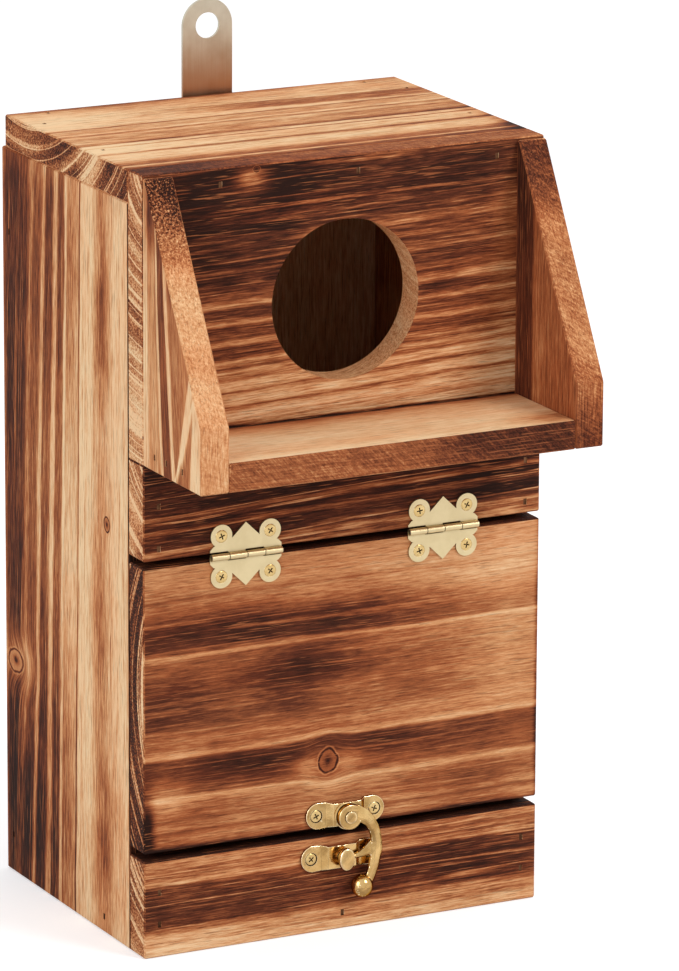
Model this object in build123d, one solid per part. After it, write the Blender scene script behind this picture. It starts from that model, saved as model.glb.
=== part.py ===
import os

from build123d import *

# Bird nest box of flamed boards with a flap door under a porch.
# Sizes are in millimetres: X runs to the right, Y to the back and Z up.
# The origin is the centre of the box's underside, without the porch.

# Carcass of boards
board_thickness = 12.0
box_width = 158.0
box_depth = 118.0
box_height = 285.0
bottom_rail_height = 36.0
door_height = 105.0
hinge_rail_height = 35.0
door_top_gap = 2.5
door_bottom_gap = 3.0
door_seat_gap = 0.3
roof_back_inset = 3.0
edge_ease = 0.5
cut_overrun = 1.0
bar_sides = 10

# Entrance hole, halfway up the upper front board, as a share of that board's height
entrance_share = 0.56

# Porch of two brackets and a ledge
bracket_thickness = 11.0
bracket_depth = 46.0
bracket_nose_height = 23.5
bracket_top_depth = 1.8
bracket_top_drop = 1.0
ledge_thickness = 10.5
ledge_back_gap = 0.8

# Brad nails with oblong heads, set just under the surface
nail_length = 25.0
nail_width = 1.25
nail_head_length = 2.2
nail_head_thickness = 0.9
nail_recess = 0.3
nail_clearance = 0.05

# Butterfly hinges
hinge_spacing = 78.6
hinge_width = 28.0
leaf_thickness = 0.7
leaf_strip_rise = 2.5
leaf_notch_depth = 1.3
lobe_radius = 4.2
lobe_spacing = 19.1
lobe_rise = 7.4
point_rise = 11.6
point_base_rise = 6.6
point_base_width = 10.4
hinge_pin_diameter = 1.0
hinge_pin_clearance = 0.05
knuckle_count = 4
knuckle_gap = 0.3
knuckle_cutout_margin = 0.5

# Countersunk cross-head screws of the hinges and the latch
screw_diameter = 2.0
screw_head_diameter = 4.7
screw_dome_height = 0.25
screw_length = 9.0
screw_clearance = 0.05
cross_span = 2.7
cross_width = 0.6
cross_depth = 0.5

# Swing latch: a plate with a hooked arm on the door, and a catch on the rail
latch_plate_length = 31.4
latch_plate_height = 9.9
latch_plate_thickness = 1.0
latch_bridge_rise = 1.6
latch_bridge_width = 10.4
latch_bridge_height = 8.6
latch_ramp_width = 1.8
latch_screw_spacing = 23.4
latch_plate_lift = 5.0
latch_plate_offset = 0.45
latch_pivot_drop = 0.9
latch_pivot_shift = 0.35
latch_pad_diameter = 10.2
latch_pad_height = 0.2
latch_side_clearance = 0.1
rivet_diameter = 3.0
rivet_clearance = 0.05
rivet_head_diameter = 4.6
rivet_head_thickness = 0.6
rivet_foot_diameter = 4.2
rivet_foot_thickness = 0.5
arm_thickness = 1.9
arm_boss_diameter = 9.3
arm_drop = 27.0
arm_edge_round = 0.45
arm_knob_diameter = 7.2
arm_knob_clearance = 0.35

# Outline of the hooked arm as shares of its drop, across and up from the pivot
arm_crest_shares = ((0.085, 0.148), (0.333, -0.022), (0.452, -0.426))
arm_heel_shares = ((0.33, -0.93),)
arm_tail_shares = ((0.14, -0.93), (0.248, -0.704), (0.256, -0.57))
arm_claw_shares = ((0.2, -0.562), (0.067, -0.583), (0.0, -0.578), (0.0, -0.528))
arm_hollow_shares = ((0.285, -0.27), (0.13, -0.075))
arm_knob_share = 0.19
arm_knob_face_share = 0.45

# Catch stud on the rail, which the arm's claw goes behind
catch_offset = 2.3
catch_drop = 15.0
stud_post_diameter = 3.6
stud_head_width = 6.0
stud_head_height = 8.2
stud_head_thickness = 1.4
stud_head_clearance = 0.3
stud_round = 0.5
stud_foot_diameter = 4.6
stud_foot_thickness = 0.6

# Hanging strap on the back
strap_width = 20.0
strap_length = 78.0
strap_thickness = 1.2
strap_stand = 35.0
strap_offset = 3.5
strap_hole_diameter = 9.6
strap_screw_diameter = 3.0
strap_screw_head_diameter = 6.0
strap_screw_head_height = 1.9
strap_screw_length = 9.0
strap_cross_span = 3.4
strap_cross_width = 0.8
strap_cross_depth = 0.9

# Where the nails stand, as shares of the length that they are spread along
front_nail_shares = (-0.31, 0.03, 0.38)
hinge_rail_nail_shares = (0.12, 0.56)
bottom_rail_nail_shares = (0.34, 0.67)
roof_side_nail_shares = (0.38, 0.8)
roof_back_nail_share = 0.405
side_nail_shares = (0.05, 0.85)
floor_side_nail_share = 0.285
floor_back_nail_share = 0.25
ledge_nail_shares = (0.2, 0.4, 0.68)
bracket_nail_shares = (0.2, 0.62)
strap_screw_shares = (0.28, 0.66)

# Planes that the boards share
right_x = box_width / 2
front_y = -box_depth / 2
back_y = box_depth / 2
inner_x = right_x - board_thickness
inner_front_y = front_y + board_thickness
inner_back_y = back_y - board_thickness
roof_under_z = box_height - board_thickness
door_bottom_z = bottom_rail_height + door_bottom_gap
door_top_z = door_bottom_z + door_height
hinge_rail_z = door_top_z + door_top_gap
upper_board_z = hinge_rail_z + hinge_rail_height
ledge_middle_z = upper_board_z + ledge_thickness / 2
bracket_front_y = front_y - bracket_depth
ledge_back_y = front_y - ledge_back_gap
entrance_z = (upper_board_z + box_height) / 2
entrance_diameter = entrance_share * (box_height - upper_board_z)
board_middle_x = right_x - board_thickness / 2

# Hinge barrel and leaves
knuckle_bore = hinge_pin_diameter + 2 * hinge_pin_clearance
knuckle_diameter = knuckle_bore + 2 * leaf_thickness
hinge_axis_y = front_y - knuckle_diameter / 2
hinge_axis_z = door_top_z + door_top_gap / 2

# Latch stack, counted forwards from the boards' front face
bridge_top = latch_bridge_rise + latch_plate_thickness
pad_top = bridge_top + latch_pad_height
arm_back = pad_top + latch_side_clearance
arm_front = arm_back + arm_thickness
rivet_head_back = arm_front + latch_side_clearance
stud_head_back = arm_front + stud_head_clearance
arm_middle_y = arm_knob_clearance + arm_knob_diameter / 2
plate_x = latch_plate_offset
plate_z = door_bottom_z + latch_plate_lift
pivot_x = plate_x + latch_pivot_shift
pivot_z = plate_z - latch_pivot_drop
catch_x = pivot_x - catch_offset
catch_z = pivot_z - catch_drop
knob_x = pivot_x + arm_knob_share * arm_drop
knob_z = pivot_z - arm_drop

# Strap
strap_x = strap_offset
strap_top_z = box_height + strap_stand
strap_bottom_z = strap_top_z - strap_length
strap_hole_z = strap_top_z - strap_width / 2

FRONT = (0, -1, 0)
BACK = (0, 1, 0)
RIGHT = (1, 0, 0)
UP = (0, 0, 1)


# Shared shapes


def span_box(low, high):
    """A plain box between two opposite corners."""
    size = [b - a for a, b in zip(low, high)]
    middle = [(a + b) / 2 for a, b in zip(low, high)]
    return Pos(*middle) * Box(*size)


def board(low, high):
    """A board between two corners, its edges eased as by sanding."""
    plain = span_box(low, high)
    return chamfer(plain.edges(), edge_ease)


def place(point, outward, across=RIGHT):
    """A spot on a face: its own Z points out of the face and its X along across."""
    return Location(Plane(origin=point, x_dir=across, z_dir=outward))


def prism(diameter, low, high):
    """A small bar about Z between two heights, with a few flat sides."""
    return extrude(Pos(0, 0, low) * RegularPolygon(diameter / 2, bar_sides), high - low)


def rod(start, end, diameter):
    """A round bar between two points."""
    reach = Vector(*end) - Vector(*start)
    spot = Location(Plane(origin=start, z_dir=reach))
    bar = Cylinder(diameter / 2, reach.length, align=(Align.CENTER, Align.CENTER, Align.MIN))
    return spot * bar


def front_plane(x, z, proud):
    """A drawing plane parallel to the front: its X to the right, its Y up."""
    return Plane(origin=(x, front_y - proud, z), x_dir=RIGHT, z_dir=FRONT)


def bevelled(solid, size):
    """The solid with the edges of its front face bevelled."""
    front_face = solid.faces().sort_by(Axis.Y)[0]
    return chamfer(front_face.edges(), size)


def cut_all(solid, tools):
    """The solid with every tool taken away."""
    for tool in tools:
        solid = solid - tool
    return solid


# Nails


def brad(extra, top):
    """A brad along -Z with its head's face at top, grown all over by extra."""
    neck = -nail_recess - nail_head_thickness - extra
    tip = -nail_recess - nail_length - extra
    half_width = nail_width / 2 + extra
    half_length = nail_head_length / 2 + extra
    head = span_box((-half_width, -half_length, neck), (half_width, half_length, top))
    shank = span_box((-half_width, -half_width, tip), (half_width, half_width, neck))
    return head + shank


def nail():
    return brad(0, -nail_recess)


def nail_hole():
    """The hole that a nail leaves, open to the surface."""
    return brad(nail_clearance, cut_overrun)


def nails(spots):
    return [spot * nail() for spot in spots]


def nail_holes(spots):
    return [spot * nail_hole() for spot in spots]


def front_board_spots():
    z = roof_under_z + board_thickness / 2
    return [place((share * box_width, front_y, z), FRONT) for share in front_nail_shares]


def hinge_rail_spots():
    spots = []
    for x in (-board_middle_x, board_middle_x):
        for share in hinge_rail_nail_shares:
            spots.append(place((x, front_y, hinge_rail_z + share * hinge_rail_height), FRONT))
    return spots


def bottom_rail_spots():
    spots = [place((0, front_y, board_thickness / 2), FRONT)]
    for x in (-board_middle_x, board_middle_x):
        for share in bottom_rail_nail_shares:
            spots.append(place((x, front_y, share * bottom_rail_height), FRONT))
    return spots


def roof_side_spots(side):
    x = side * board_middle_x
    return [place((x, front_y + share * box_depth, box_height), UP) for share in roof_side_nail_shares]


def roof_back_spots():
    y = back_y - board_thickness / 2 - roof_back_inset / 2
    offset = roof_back_nail_share * box_width
    return [place((x, y, box_height), UP) for x in (-offset, offset)]


def side_back_spots(side):
    x = side * right_x
    y = back_y - board_thickness / 2
    return [place((x, y, share * box_height), (side, 0, 0), BACK) for share in side_nail_shares]


def side_floor_spots(side):
    y = front_y + floor_side_nail_share * box_depth
    return [place((side * right_x, y, board_thickness / 2), (side, 0, 0), BACK)]


def back_floor_spots():
    offset = floor_back_nail_share * box_width
    return [place((x, back_y, board_thickness / 2), BACK) for x in (-offset, offset)]


def ledge_spots(side):
    x = side * right_x
    spots = []
    for share in ledge_nail_shares:
        y = front_y - share * bracket_depth
        spots.append(place((x, y, ledge_middle_z), (side, 0, 0), BACK))
    return spots


def bracket_back_spots(side):
    x = side * (right_x - bracket_thickness / 2)
    rise = box_height - upper_board_z
    return [place((x, inner_front_y, upper_board_z + share * rise), BACK) for share in bracket_nail_shares]


# Boards of the box


def side_panel(side):
    x_limits = sorted((side * inner_x, side * right_x))
    low = (x_limits[0], inner_front_y, 0)
    high = (x_limits[1], back_y, roof_under_z)
    spots = side_back_spots(side) + side_floor_spots(side) + roof_side_spots(side)
    spots += [s for s in hinge_rail_spots() + bottom_rail_spots() if s.position.X * side > inner_x]
    return cut_all(board(low, high), nail_holes(spots))


def back_panel():
    low = (-inner_x, inner_back_y, 0)
    high = (inner_x, back_y, roof_under_z)
    spots = side_back_spots(-1) + side_back_spots(1) + roof_back_spots() + back_floor_spots()
    return cut_all(board(low, high), nail_holes(spots) + strap_screw_holes())


def floor_board():
    low = (-inner_x, inner_front_y, 0)
    high = (inner_x, inner_back_y, board_thickness)
    spots = side_floor_spots(-1) + side_floor_spots(1) + back_floor_spots() + bottom_rail_spots()[:1]
    return cut_all(board(low, high), nail_holes(spots))


def roof_board():
    low = (-right_x, inner_front_y, roof_under_z)
    high = (right_x, back_y - roof_back_inset, box_height)
    spots = roof_side_spots(-1) + roof_side_spots(1) + roof_back_spots() + front_board_spots()
    return cut_all(board(low, high), nail_holes(spots))


def upper_front_board():
    solid = board((-right_x, front_y, upper_board_z), (right_x, inner_front_y, box_height))
    hole = rod(
        (0, front_y - cut_overrun, entrance_z),
        (0, inner_front_y + cut_overrun, entrance_z),
        entrance_diameter,
    )
    spots = front_board_spots() + bracket_back_spots(-1) + bracket_back_spots(1)
    return cut_all(solid - hole, nail_holes(spots))


def hinge_rail():
    solid = board((-right_x, front_y, hinge_rail_z), (right_x, inner_front_y, upper_board_z))
    return cut_all(solid, nail_holes(hinge_rail_spots()) + screw_holes(hinge_screw_spots(1)))


def bottom_rail():
    solid = board((-right_x, front_y, 0), (right_x, inner_front_y, bottom_rail_height))
    return cut_all(solid, nail_holes(bottom_rail_spots()) + screw_holes(plate_screw_spots(catch_x, catch_z)))


def door_flap():
    """The flap seats on the side panels' front edges with a small running gap."""
    low = (-right_x, front_y, door_bottom_z)
    high = (right_x, inner_front_y - door_seat_gap, door_top_z)
    spots = hinge_screw_spots(-1) + plate_screw_spots(plate_x, plate_z)
    return cut_all(board(low, high), screw_holes(spots))


# Porch


def porch_bracket(side):
    top_z = box_height - bracket_top_drop
    knee_z = upper_board_z + bracket_nose_height
    outline = Polyline(
        (front_y, upper_board_z),
        (bracket_front_y, upper_board_z),
        (bracket_front_y, knee_z),
        (front_y - bracket_top_depth, top_z),
        (front_y, top_z),
        close=True,
    )
    start_x = right_x - bracket_thickness if side > 0 else -right_x
    plane = Plane(origin=(start_x, 0, 0), x_dir=BACK, z_dir=RIGHT)
    plain = extrude(plane * make_face(outline), bracket_thickness)
    solid = chamfer(plain.edges(), edge_ease)
    return cut_all(solid, nail_holes(ledge_spots(side) + bracket_back_spots(side)))


def porch_ledge():
    half = right_x - bracket_thickness
    solid = board(
        (-half, bracket_front_y, upper_board_z),
        (half, ledge_back_y, upper_board_z + ledge_thickness),
    )
    return cut_all(solid, nail_holes(ledge_spots(-1) + ledge_spots(1)))


# Screws


def cross(span, width, depth):
    """A cross recess sunk from zero."""
    arm = Box(span, width, 2 * depth)
    return arm + Rot(0, 0, 90) * arm


def countersunk(extra, plate, top, tip):
    """A cone head through a plate whose face is at zero, with its shank, grown by extra."""
    shank = prism(screw_diameter + 2 * extra, tip, -plate)
    head = prism(screw_head_diameter + 2 * extra, -plate, top)
    under = head.faces().sort_by(Axis.Z)[0]
    inset = (screw_head_diameter - screw_diameter) / 2
    return chamfer(under.edges(), inset, plate, reference=under) + shank


def screw(plate):
    """A countersunk screw driven along -Z through a plate."""
    solid = countersunk(0, plate, screw_dome_height, -screw_length)
    return solid - Pos(0, 0, screw_dome_height) * cross(cross_span, cross_width, cross_depth)


def pilot_hole(diameter, length):
    """The hole of a screw in the wood, from the wood's face at zero."""
    return prism(diameter + 2 * screw_clearance, -length - screw_clearance, cut_overrun)


def countersink(plate):
    """The sunk hole in a plate whose face is at zero."""
    return countersunk(screw_clearance, plate, cut_overrun, -plate - cut_overrun)


def screws(spots, plate):
    """Screws at spots on the wood, each through a plate that lies on it."""
    return [spot * Pos(0, 0, plate) * screw(plate) for spot in spots]


def screw_holes(spots):
    return [spot * pilot_hole(screw_diameter, screw_length) for spot in spots]


def countersinks(spots, plate):
    return [spot * Pos(0, 0, plate) * countersink(plate) for spot in spots]


# Hinges


def hinge_centres():
    return (-hinge_spacing / 2, hinge_spacing / 2)


def leaf_screw_spots(hinge_x, up):
    z = hinge_axis_z + up * lobe_rise
    return [place((hinge_x + s * lobe_spacing / 2, front_y, z), FRONT) for s in (-1, 1)]


def hinge_screw_spots(up):
    """Spots of both hinges' screws above the barrel (up = 1) or under it (up = -1)."""
    return [spot for x in hinge_centres() for spot in leaf_screw_spots(x, up)]


def leaf_plate():
    """Outline of a leaf above the barrel: a strip, two round lobes and a point."""
    half = hinge_width / 2
    base = point_base_width / 2
    notch_x = half - leaf_notch_depth
    notch_z = leaf_strip_rise + leaf_notch_depth
    side = [(half, 0), (half, leaf_strip_rise), (notch_x, notch_z), (base, point_base_rise)]
    mirrored = [(-x, z) for x, z in reversed(side)]
    shape = make_face(Polyline(*side, (0, point_rise), *mirrored, close=True))
    for s in (-1, 1):
        shape = shape + Pos(s * lobe_spacing / 2, lobe_rise) * Circle(lobe_radius)
    return shape


def knuckle_limits(index):
    """Ends of one knuckle, counted from the left of the hinge."""
    pitch = hinge_width / knuckle_count
    start = -hinge_width / 2 + index * pitch
    return start + knuckle_gap / 2, start + pitch - knuckle_gap / 2


def knuckles(hinge_x, own):
    """Barrel pieces of a leaf: every second one, starting from index own."""
    pieces = []
    for index in range(own, knuckle_count, 2):
        low, high = knuckle_limits(index)
        start = (hinge_x + low, hinge_axis_y, hinge_axis_z)
        end = (hinge_x + high, hinge_axis_y, hinge_axis_z)
        pieces.append(rod(start, end, knuckle_diameter))
    return pieces


def knuckle_cutouts(hinge_x, own, up):
    """Room in the leaf for the other leaf's barrel pieces."""
    reach = knuckle_diameter / 2 + knuckle_cutout_margin
    pitch = hinge_width / knuckle_count
    pieces = []
    for index in range(1 - own, knuckle_count, 2):
        start = hinge_x - hinge_width / 2 + index * pitch
        low = start - (cut_overrun if index == 0 else knuckle_gap / 2)
        high = start + pitch + (cut_overrun if index == knuckle_count - 1 else knuckle_gap / 2)
        z_limits = sorted((hinge_axis_z - up * cut_overrun, hinge_axis_z + up * reach))
        pieces.append(
            span_box(
                (low, front_y - leaf_thickness - cut_overrun, z_limits[0]),
                (high, front_y + cut_overrun, z_limits[1]),
            )
        )
    return pieces


def hinge_leaf(hinge_x, up, own):
    """One leaf: flat on the wood, rolled round the pin at its knuckles."""
    outline = leaf_plate() if up > 0 else leaf_plate().mirror(Plane.XZ)
    plate = extrude(front_plane(hinge_x, hinge_axis_z, 0) * outline, leaf_thickness)
    plate = cut_all(plate, knuckle_cutouts(hinge_x, own, up))
    for knuckle in knuckles(hinge_x, own):
        plate = plate + knuckle
    bore = hinge_bar(hinge_x, knuckle_bore, cut_overrun)
    return cut_all(plate - bore, countersinks(leaf_screw_spots(hinge_x, up), leaf_thickness))


def hinge_bar(hinge_x, diameter, extra):
    """A bar along the barrel, longer than it by extra at each end."""
    half = (hinge_width - knuckle_gap) / 2 + extra
    return place((hinge_x, hinge_axis_y, hinge_axis_z), RIGHT, BACK) * prism(diameter, -half, half)


def hinge_pin(hinge_x):
    return hinge_bar(hinge_x, hinge_pin_diameter, 0)


# Swing latch


def plate_screw_spots(x, z):
    return [place((x + s * latch_screw_spacing / 2, front_y, z), FRONT) for s in (-1, 1)]


def bridge_profile():
    """Section of a latch plate seen from above: ears on the wood, the middle raised."""
    end = latch_plate_length / 2 + cut_overrun
    foot = latch_bridge_width / 2 + latch_ramp_width
    crown = latch_bridge_width / 2
    gauge = latch_plate_thickness
    rise = latch_bridge_rise
    under = [(-end, 0), (-foot, 0), (-crown, rise), (crown, rise), (foot, 0), (end, 0)]
    over = [(x, y + gauge) for x, y in reversed(under)]
    return make_face(Polyline(*under, *over, close=True))


def bridged_plate(x, z):
    """A stamped plate with two round ears and a raised, narrower middle."""
    section = Plane(origin=(x, front_y, z - latch_plate_height), x_dir=RIGHT, z_dir=(0, 0, -1))
    strip = extrude(section * bridge_profile(), -2 * latch_plate_height)
    outline = SlotOverall(latch_plate_length, latch_plate_height)
    foot = latch_bridge_width / 2 + latch_ramp_width
    trim_height = (latch_plate_height - latch_bridge_height) / 2
    for s in (-1, 1):
        trim = Pos(0, s * latch_plate_height / 2) * Rectangle(2 * foot, 2 * trim_height)
        outline = outline - trim
    blank = extrude(front_plane(x, z, -cut_overrun) * outline, bridge_top + 2 * cut_overrun)
    plate = strip & blank
    return cut_all(plate, countersinks(plate_screw_spots(x, z), latch_plate_thickness))


def front_disc(x, z, diameter, back, front):
    """A disc parallel to the front between two distances ahead of the boards."""
    return rod((x, front_y - back, z), (x, front_y - front, z), diameter)


def flange(x, z, diameter, back, front):
    """A small flange behind a plate, between two distances ahead of the boards."""
    return place((x, front_y, z), FRONT) * prism(diameter, back, front)


def latch_plate():
    pad = front_disc(pivot_x, pivot_z, latch_pad_diameter, latch_bridge_rise, pad_top)
    hole = front_disc(pivot_x, pivot_z, rivet_diameter + 2 * rivet_clearance, 0, pad_top + cut_overrun)
    return bridged_plate(plate_x, plate_z) + pad - hole


def latch_rivet():
    """A rivet through the plate and the arm, headed at both ends."""
    foot_front = latch_bridge_rise - rivet_clearance
    foot = flange(pivot_x, pivot_z, rivet_foot_diameter, foot_front - rivet_foot_thickness, foot_front)
    shaft = front_disc(pivot_x, pivot_z, rivet_diameter, foot_front, rivet_head_back)
    head_front = rivet_head_back + rivet_head_thickness
    head = front_disc(pivot_x, pivot_z, rivet_head_diameter, rivet_head_back, head_front)
    return foot + shaft + bevelled(head, rivet_head_thickness / 2)


def arm_points(shares):
    return [(across * arm_drop, up * arm_drop) for across, up in shares]


def arm_outline():
    """Crescent, tail and claw of the arm, drawn from the pivot."""
    crest = ThreePointArc(*arm_points(arm_crest_shares))
    heel = TangentArc(crest @ 1, *arm_points(arm_heel_shares), tangent=crest % 1)
    tail = ThreePointArc(*arm_points(arm_tail_shares))
    claw = Polyline(tail @ 1, *arm_points(arm_claw_shares))
    hollow = ThreePointArc(claw @ 1, *arm_points(arm_hollow_shares))
    base = Line(heel @ 1, tail @ 0)
    root = Polyline(hollow @ 1, (0, 0), crest @ 0)
    return make_face(Curve() + [crest, heel, base, tail, claw, hollow, root])


def arm_knob():
    """The finger ball, worked from a short bar with wide bevels."""
    radius = arm_knob_diameter / 2
    ball = prism(arm_knob_diameter, -radius, radius)
    bevel = (1 - arm_knob_face_share) * radius
    ends = ball.faces().filter_by(Axis.Z).edges()
    return place((knob_x, front_y - arm_middle_y, knob_z), FRONT) * chamfer(ends, bevel)


def latch_arm():
    """The hooked arm, its front edges bevelled, with a ball for the finger."""
    plane = front_plane(pivot_x, pivot_z, arm_back)
    blade = bevelled(extrude(plane * arm_outline(), arm_thickness), arm_edge_round)
    boss = bevelled(extrude(plane * Circle(arm_boss_diameter / 2), arm_thickness), arm_edge_round)
    hole_diameter = rivet_diameter + 2 * rivet_clearance
    bore = front_disc(pivot_x, pivot_z, hole_diameter, 0, arm_front + cut_overrun)
    return blade + boss + arm_knob() - bore


def catch_plate():
    hole_diameter = stud_post_diameter + 2 * rivet_clearance
    hole = front_disc(catch_x, catch_z, hole_diameter, 0, bridge_top + cut_overrun)
    return bridged_plate(catch_x, catch_z) - hole


def catch_stud():
    """A post riveted in the catch plate, with a wide oval head."""
    foot_front = latch_bridge_rise - rivet_clearance
    foot = flange(catch_x, catch_z, stud_foot_diameter, foot_front - stud_foot_thickness, foot_front)
    post = front_disc(catch_x, catch_z, stud_post_diameter, foot_front, stud_head_back)
    oval = Rot(0, 0, 90) * SlotOverall(stud_head_height, stud_head_width)
    head = extrude(front_plane(catch_x, catch_z, stud_head_back) * oval, stud_head_thickness)
    return foot + post + bevelled(head, stud_round)


# Hanging strap


def strap_screw_spots():
    """Places on the back panel, spread over the strap's lap below the roof."""
    lap = roof_under_z - strap_bottom_z
    return [place((strap_x, back_y, strap_bottom_z + share * lap), BACK) for share in strap_screw_shares]


def strap_screw_holes():
    return [spot * pilot_hole(strap_screw_diameter, strap_screw_length) for spot in strap_screw_spots()]


def hanger_strap():
    """A flat strap with round ends and one hanging hole."""
    middle_z = (strap_top_z + strap_bottom_z) / 2
    plane = Plane(origin=(strap_x, back_y, middle_z), x_dir=UP, z_dir=BACK)
    plate = extrude(plane * SlotOverall(strap_length, strap_width), strap_thickness)
    hole = rod(
        (strap_x, back_y - cut_overrun, strap_hole_z),
        (strap_x, back_y + strap_thickness + cut_overrun, strap_hole_z),
        strap_hole_diameter,
    )
    lift = Pos(0, 0, strap_thickness)
    small = [spot * lift * pilot_hole(strap_screw_diameter, strap_length) for spot in strap_screw_spots()]
    return cut_all(plate - hole, small)


def strap_screw():
    """A pan-head screw driven along -Z, its head seated on the strap."""
    crown = strap_thickness + strap_screw_head_height
    pan = prism(strap_screw_head_diameter, strap_thickness, crown)
    pan = chamfer(pan.faces().sort_by(Axis.Z)[-1].edges(), strap_screw_head_height / 2)
    stem = prism(strap_screw_diameter, -strap_screw_length, strap_thickness)
    recess = Pos(0, 0, crown) * cross(strap_cross_span, strap_cross_width, strap_cross_depth)
    return pan + stem - recess


def hanger_screws():
    return [spot * strap_screw() for spot in strap_screw_spots()]


# All nodes by name


def nodes():
    left_hinge_x, right_hinge_x = hinge_centres()
    return {
        "left_side_panel": side_panel(-1),
        "right_side_panel": side_panel(1),
        "back_panel": back_panel(),
        "floor_board": floor_board(),
        "roof_board": roof_board(),
        "upper_front_board": upper_front_board(),
        "hinge_rail": hinge_rail(),
        "bottom_rail": bottom_rail(),
        "door_flap": door_flap(),
        "left_porch_bracket": porch_bracket(-1),
        "right_porch_bracket": porch_bracket(1),
        "porch_ledge": porch_ledge(),
        "front_board_nails": nails(front_board_spots()),
        "hinge_rail_nails": nails(hinge_rail_spots()),
        "bottom_rail_nails": nails(bottom_rail_spots()),
        "roof_nails": nails(roof_side_spots(-1) + roof_side_spots(1) + roof_back_spots()),
        "left_side_nails": nails(side_back_spots(-1) + side_floor_spots(-1)),
        "right_side_nails": nails(side_back_spots(1) + side_floor_spots(1)),
        "back_panel_nails": nails(back_floor_spots()),
        "left_ledge_nails": nails(ledge_spots(-1)),
        "right_ledge_nails": nails(ledge_spots(1)),
        "bracket_nails": nails(bracket_back_spots(-1) + bracket_back_spots(1)),
        "left_hinge_rail_leaf": hinge_leaf(left_hinge_x, 1, 1),
        "left_hinge_door_leaf": hinge_leaf(left_hinge_x, -1, 0),
        "left_hinge_pin": hinge_pin(left_hinge_x),
        "right_hinge_rail_leaf": hinge_leaf(right_hinge_x, 1, 1),
        "right_hinge_door_leaf": hinge_leaf(right_hinge_x, -1, 0),
        "right_hinge_pin": hinge_pin(right_hinge_x),
        "hinge_rail_screws": screws(hinge_screw_spots(1), leaf_thickness),
        "hinge_door_screws": screws(hinge_screw_spots(-1), leaf_thickness),
        "latch_plate": latch_plate(),
        "latch_plate_screws": screws(plate_screw_spots(plate_x, plate_z), latch_plate_thickness),
        "latch_rivet": latch_rivet(),
        "latch_arm": latch_arm(),
        "catch_plate": catch_plate(),
        "catch_plate_screws": screws(plate_screw_spots(catch_x, catch_z), latch_plate_thickness),
        "catch_stud": catch_stud(),
        "hanger_strap": hanger_strap(),
        "hanger_screws": hanger_screws(),
    }


def main():
    os.makedirs("parts", exist_ok=True)
    for name, shape in nodes().items():
        if isinstance(shape, list):
            shape = Compound(children=shape)
        export_step(shape, f"parts/{name}.step")


main()
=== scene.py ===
import math

import bmesh
import bpy
from mathutils import Matrix, Vector


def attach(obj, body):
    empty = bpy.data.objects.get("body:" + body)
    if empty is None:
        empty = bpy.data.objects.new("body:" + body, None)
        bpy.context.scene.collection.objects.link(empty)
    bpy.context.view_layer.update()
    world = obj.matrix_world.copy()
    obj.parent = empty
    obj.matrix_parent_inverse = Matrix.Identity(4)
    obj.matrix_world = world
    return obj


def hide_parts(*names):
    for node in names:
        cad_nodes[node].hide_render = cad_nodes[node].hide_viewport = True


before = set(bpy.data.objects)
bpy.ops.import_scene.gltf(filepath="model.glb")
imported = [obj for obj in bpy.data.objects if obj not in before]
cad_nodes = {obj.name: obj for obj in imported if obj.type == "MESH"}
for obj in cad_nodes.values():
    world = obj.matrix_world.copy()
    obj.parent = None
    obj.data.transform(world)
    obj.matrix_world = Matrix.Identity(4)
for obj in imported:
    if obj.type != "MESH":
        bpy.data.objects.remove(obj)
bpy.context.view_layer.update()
scene = bpy.context.scene

MM = 0.001

# Faces of the box, in mm
left_face, right_face = -79, 79
front_face, back_face = -59, 59
box_foot, box_top = 0, 285


# Colours and sums

def tone(red, green, blue):
    """A colour in screen steps from 0 to 255, as the shaders want it."""
    linear = []
    for step in (red, green, blue):
        part = step / 255
        linear.append(part / 12.92 if part <= 0.04045 else ((part + 0.055) / 1.055) ** 2.4)
    return (*linear, 1)


class Field:
    """A number that varies over a surface. Sums with it add nodes to its material."""

    def __init__(self, tree, socket):
        self.tree = tree
        self.socket = socket

    def sum(self, operation, *others, clamp=False):
        made = self.tree.nodes.new("ShaderNodeMath")
        made.operation = operation
        made.use_clamp = clamp
        for socket, value in zip(made.inputs, (self, *others)):
            feed(self.tree, socket, value)
        return Field(self.tree, made.outputs[0])

    def __add__(self, other):
        return self.sum("ADD", other)

    def __sub__(self, other):
        return self.sum("SUBTRACT", other)

    def __mul__(self, other):
        return self.sum("MULTIPLY", other)

    def __truediv__(self, other):
        return self.sum("DIVIDE", other)

    def size(self):
        return self.sum("ABSOLUTE")

    def flipped(self):
        return self * -1 + 1

    def kept(self):
        """The number held between 0 and 1."""
        return self.sum("ADD", 0, clamp=True)

    def squared(self):
        return self.sum("POWER", 2)

    def between(self, low, high):
        """0 at low, 1 at high, soft at both ends."""
        made = self.tree.nodes.new("ShaderNodeMapRange")
        made.interpolation_type = "SMOOTHSTEP"
        feed(self.tree, made.inputs["Value"], self)
        made.inputs["From Min"].default_value = low
        made.inputs["From Max"].default_value = high
        return Field(self.tree, made.outputs["Result"])


def feed(tree, socket, value):
    """Links a sum to a socket, or writes a plain value into it."""
    if isinstance(value, Field):
        tree.links.new(value.socket, socket)
    elif isinstance(value, bpy.types.NodeSocket):
        tree.links.new(value, socket)
    else:
        socket.default_value = value


def vector(tree, *parts):
    made = tree.nodes.new("ShaderNodeCombineXYZ")
    for socket, part in zip(made.inputs, parts):
        feed(tree, socket, part)
    return made.outputs[0]


def parted(tree, place):
    """The three parts of a place or a direction, by their letters."""
    made = tree.nodes.new("ShaderNodeSeparateXYZ")
    feed(tree, made.inputs[0], place)
    return {letter: Field(tree, made.outputs[letter]) for letter in "XYZ"}


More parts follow.
